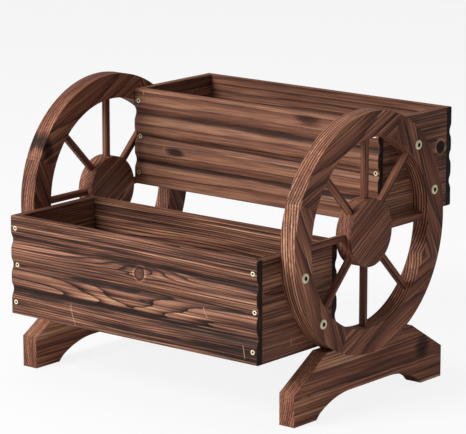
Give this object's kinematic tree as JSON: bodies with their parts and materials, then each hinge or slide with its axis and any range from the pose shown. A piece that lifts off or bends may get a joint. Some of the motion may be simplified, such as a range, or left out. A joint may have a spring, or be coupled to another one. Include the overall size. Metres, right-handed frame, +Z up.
{
  "type": "flower cart stand",
  "caption": "Two-tier wooden planter stand: a low and a high scallop-fronted box between two spoked cart wheels that stand in cradle feet.",
  "frame": {"origin": "on the ground, under the middle of the whole stand", "axes": "+X to the right along the boxes and parallel to the wheels' axis, +Y to the rear, where the high box is, +Z up"},
  "size_m": [0.6672, 0.585, 0.542],
  "materials": {
    "box_wood": "burnt and brushed, satin lacquer",
    "wheel_wood": "burnt, satin lacquer",
    "spoke_wood": "burnt, satin lacquer",
    "foot_wood": "burnt, satin lacquer",
    "floor_wood": "sawn, stained",
    "tongue_wood": "plain",
    "brass_plate": "yellow zinc plate",
    "zinc_steel": "zinc plate"
  },
  "bodies": {
    "root": {"cleat_brads": "zinc_steel", "floor_brads": "zinc_steel", "foot_screws": "zinc_steel", "left_foot": "foot_wood", "left_hub": "wheel_wood", "left_rim_lower_front": "wheel_wood", "left_rim_lower_rear": "wheel_wood", "left_rim_upper_front": "wheel_wood", "left_rim_upper_rear": "wheel_wood", "left_spoke_bottom": "spoke_wood", "left_spoke_front": "spoke_wood", "left_spoke_lower_front": "spoke_wood", "left_spoke_lower_rear": "spoke_wood", "left_spoke_rear": "spoke_wood", "left_spoke_top": "spoke_wood", "left_spoke_upper_front": "spoke_wood", "left_spoke_upper_rear": "spoke_wood", "lower_box_back": "box_wood", "lower_box_floor_front": "floor_wood", "lower_box_floor_middle": "floor_wood", "lower_box_floor_rear": "floor_wood", "lower_box_front": "box_wood", "lower_box_left_cleat": "floor_wood", "lower_box_left_side": "box_wood", "lower_box_panel_screws": "brass_plate", "lower_box_right_cleat": "floor_wood", "lower_box_right_side": "box_wood", "right_foot": "foot_wood", "right_hub": "wheel_wood", "right_rim_lower_front": "wheel_wood", "right_rim_lower_rear": "wheel_wood", "right_rim_upper_front": "wheel_wood", "right_rim_upper_rear": "wheel_wood", "right_spoke_bottom": "spoke_wood", "right_spoke_front": "spoke_wood", "right_spoke_lower_front": "spoke_wood", "right_spoke_lower_rear": "spoke_wood", "right_spoke_rear": "spoke_wood", "right_spoke_top": "spoke_wood", "right_spoke_upper_front": "spoke_wood", "right_spoke_upper_rear": "spoke_wood", "rim_tongues": "tongue_wood", "upper_box_back": "box_wood", "upper_box_floor_front": "floor_wood", "upper_box_floor_middle": "floor_wood", "upper_box_floor_rear": "floor_wood", "upper_box_front": "box_wood", "upper_box_left_cleat": "floor_wood", "upper_box_left_side": "box_wood", "upper_box_panel_screws": "brass_plate", "upper_box_right_cleat": "floor_wood", "upper_box_right_side": "box_wood", "wheel_bolts": "brass_plate", "wheel_nuts": "zinc_steel", "wheel_washers": "zinc_steel"}
  },
  "joints": []
}
